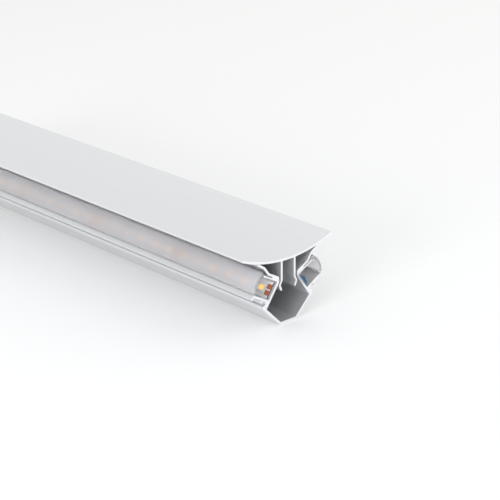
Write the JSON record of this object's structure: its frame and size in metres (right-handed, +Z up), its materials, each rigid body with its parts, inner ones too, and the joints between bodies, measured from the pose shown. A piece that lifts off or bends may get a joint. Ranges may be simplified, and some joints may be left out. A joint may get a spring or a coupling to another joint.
{
  "type": "led strip aluminium profile",
  "caption": "Extruded aluminium profile with a snap-in dished cover plate and an LED strip behind a bowed opal diffuser in a slanted channel on each side.",
  "frame": {"origin": "middle of the flat foot that the profile stands on, half-way along its length", "axes": "+Z up from the foot to the cover plate, +Y along the profile away from the end in front, +X across it to the right-hand diffuser"},
  "size_m": [0.0538, 0.2833, 0.036],
  "materials": {
    "anodised_aluminium": "satin anodised extrusion",
    "opal_plastic": "satin opal",
    "blue_tape": "matte",
    "white_board": "satin solder mask",
    "led_white": "satin",
    "led_phosphor": "satin silicone",
    "resistor_black": "matte",
    "copper": "dull bare copper"
  },
  "bodies": {
    "profile": {"profile_body": "anodised_aluminium", "strip_tape_left": "blue_tape", "strip_board_left": "white_board", "led_housings_left": "led_white", "led_phosphors_left": "led_phosphor", "resistors_left": "resistor_black", "solder_pads_left": "copper", "strip_tape_right": "blue_tape", "strip_board_right": "white_board", "led_housings_right": "led_white", "led_phosphors_right": "led_phosphor", "resistors_right": "resistor_black", "solder_pads_right": "copper"},
    "cover": {"cover_plate": "anodised_aluminium"},
    "diffuser_left": {"diffuser_left": "opal_plastic"},
    "diffuser_right": {"diffuser_right": "opal_plastic"}
  },
  "joints": [
    {"name": "cover_slide", "type": "slide", "parent": "profile", "child": "cover", "axis": [0, -1, 0], "range_m": [0, 0.28]},
    {"name": "diffuser_left_slide", "type": "slide", "parent": "profile", "child": "diffuser_left", "axis": [0, -1, 0], "range_m": [0, 0.28]},
    {"name": "diffuser_right_slide", "type": "slide", "parent": "profile", "child": "diffuser_right", "axis": [0, -1, 0], "range_m": [0, 0.28]}
  ]
}
